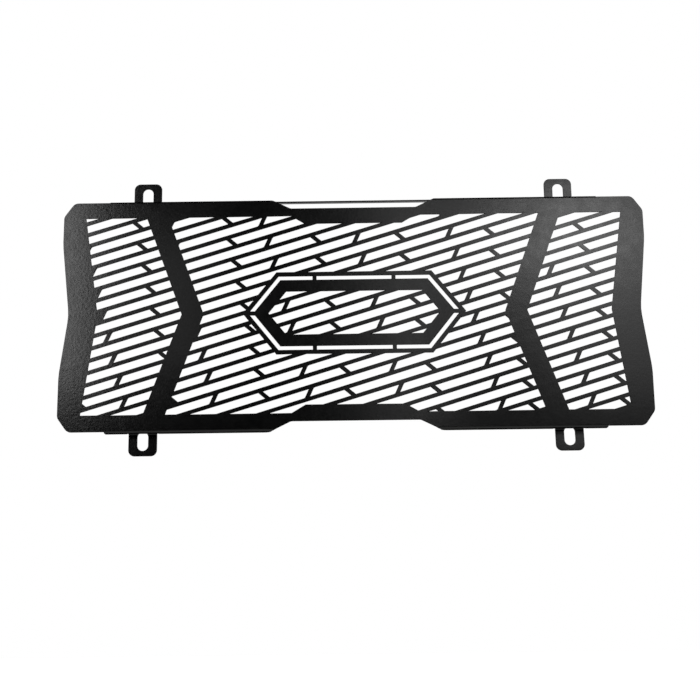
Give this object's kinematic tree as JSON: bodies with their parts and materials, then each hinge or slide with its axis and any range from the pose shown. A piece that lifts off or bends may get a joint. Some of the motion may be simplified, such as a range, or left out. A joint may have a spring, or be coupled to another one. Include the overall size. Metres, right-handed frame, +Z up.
{
  "type": "motorcycle radiator guard",
  "caption": "Folded sheet-metal radiator guard with slanted slots, chevron bands, a plain hexagonal badge and slotted mounting tabs.",
  "frame": {"origin": "middle of the guard's box, halfway between the front of the face and the backs of the tabs", "axes": "+X along the guard, +Z up, and the face looks along -Y"},
  "size_m": [0.385, 0.0076, 0.1844],
  "materials": {
    "powder_coat": "satin black powder coat with a fine texture"
  },
  "bodies": {
    "root": {"guard": "powder_coat"}
  },
  "joints": []
}
